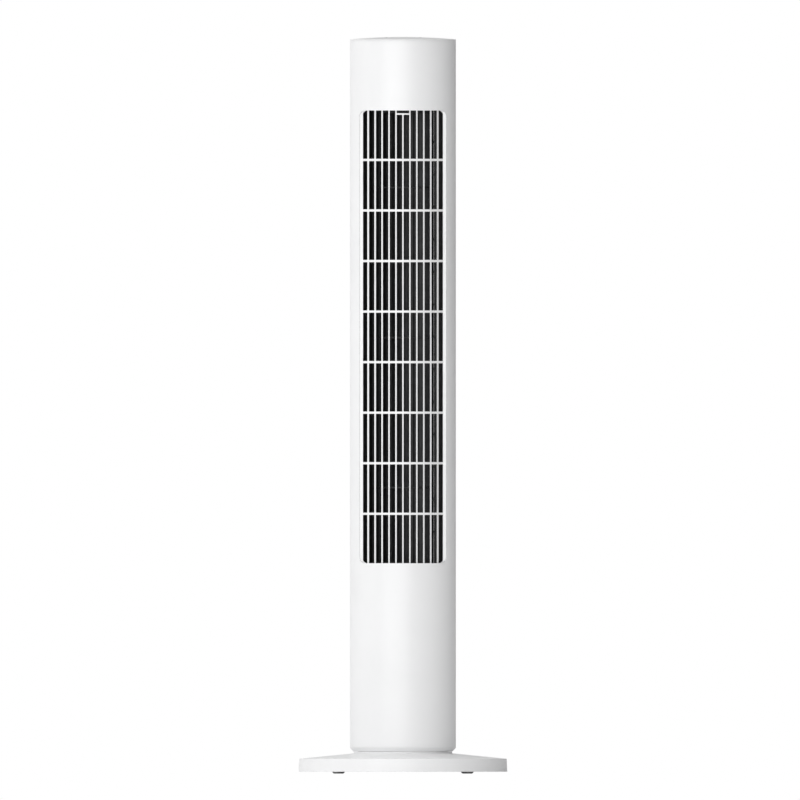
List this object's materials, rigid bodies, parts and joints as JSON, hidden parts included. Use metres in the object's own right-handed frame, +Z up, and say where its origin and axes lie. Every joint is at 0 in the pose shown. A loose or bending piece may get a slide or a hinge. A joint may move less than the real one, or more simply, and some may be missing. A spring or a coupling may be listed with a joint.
{
  "type": "tower fan",
  "caption": "Slim round floor-standing tower fan with a tall front grille, a cross-flow wheel, and a column that swings on a round base.",
  "frame": {"origin": "on the floor, at the column's axis, under the middle of the base", "axes": "+Z up along the column and its swing axis, -Y out of the front grille, +X to the fan's left as seen from behind"},
  "size_m": [0.3116, 0.3116, 1.1],
  "materials": {
    "white_plastic": "satin moulded ABS, white",
    "grey_rubber": "matt grey rubber",
    "black_plastic": "matt black moulded plastic",
    "natural_nylon": "natural nylon, semi-matt",
    "zinc_steel": "zinc-plated pressed steel",
    "bright_steel": "bright steel",
    "bronze": "sintered bronze, oiled",
    "alloy_hub": "turned aluminium",
    "circuit_board": "green laminate with solder mask",
    "components": "dark moulded component cases",
    "lead_sheath": "black flexible PVC",
    "smoked_lens": "smoked translucent acrylic, polished"
  },
  "bodies": {
    "base": {"base_shell": "white_plastic", "base_cover": "white_plastic", "ballast_plate": "zinc_steel", "foot_pads": "grey_rubber", "base_screws": "bright_steel", "cable_gland": "grey_rubber", "pivot_tube": "zinc_steel", "pivot_screws": "bright_steel", "pivot_nut": "zinc_steel", "swing_ring_gear": "natural_nylon", "ring_gear_screws": "bright_steel", "lower_race": "zinc_steel"},
    "ball_cage": {"ball_cage": "natural_nylon", "bearing_balls": "bright_steel"},
    "swing_pinion": {"swing_pinion": "natural_nylon", "swing_motor_shaft": "bright_steel"},
    "column": {"bottom_tray": "white_plastic", "pivot_bush": "natural_nylon", "upper_race": "zinc_steel", "swing_motor": "zinc_steel", "front_shell": "white_plastic", "rear_shell": "white_plastic", "shell_screws": "bright_steel", "front_grille": "white_plastic", "volute_wall": "black_plastic", "duct_tongue": "black_plastic", "lower_bulkhead": "black_plastic", "upper_bulkhead": "black_plastic", "bearing_seat": "grey_rubber", "upper_bearing": "bronze", "motor_bracket": "zinc_steel", "mount_rubbers": "grey_rubber", "motor_case": "zinc_steel", "motor_end_cap": "zinc_steel", "motor_stator": "zinc_steel", "motor_bearings": "bronze", "main_board": "circuit_board", "board_components": "components", "display_lead": "lead_sheath", "motor_lead": "lead_sheath", "control_board": "circuit_board", "digit_display": "black_plastic", "touch_springs": "bright_steel", "short_screws": "bright_steel", "top_cap": "white_plastic", "touch_panel": "white_plastic", "display_lens": "smoked_lens"},
    "rear_grille": {"rear_grille": "white_plastic"},
    "impeller": {"impeller_bottom_plate": "black_plastic", "impeller_top_plate": "black_plastic", "impeller_axle": "bright_steel", "impeller_hub": "alloy_hub", "motor_rotor": "zinc_steel", "motor_shaft": "bright_steel", "impeller_segment_1": "black_plastic", "impeller_segment_2": "black_plastic", "impeller_segment_3": "black_plastic", "impeller_segment_4": "black_plastic", "impeller_segment_5": "black_plastic", "impeller_segment_6": "black_plastic"}
  },
  "joints": [
    {"name": "swing", "type": "hinge", "parent": "base", "child": "column", "pos_m": [0, 0, 0.0325], "axis": [0, 0, 1], "range_deg": [-75, 75]},
    {"name": "cage_orbit", "type": "hinge", "parent": "base", "child": "ball_cage", "pos_m": [0, 0, 0.0325], "axis": [0, 0, 1], "range_deg": [-37.5, 37.5]},
    {"name": "pinion_spin", "type": "hinge", "parent": "column", "child": "swing_pinion", "pos_m": [-0.036, 0, 0.025], "axis": [0, 0, 1], "range_deg": [-300, 300]},
    {"name": "impeller_spin", "type": "hinge", "parent": "column", "child": "impeller", "pos_m": [0, 0.008, 0.65], "axis": [0, 0, 1], "continuous": true},
    {"name": "rear_grille_pull", "type": "slide", "parent": "column", "child": "rear_grille", "axis": [0, 1, 0], "range_m": [0, 0.06]}
  ],
  "couplings": [
    {"joint": "cage_orbit", "follows": "swing", "ratio": 0.5},
    {"joint": "pinion_spin", "follows": "swing", "ratio": -4}
  ]
}
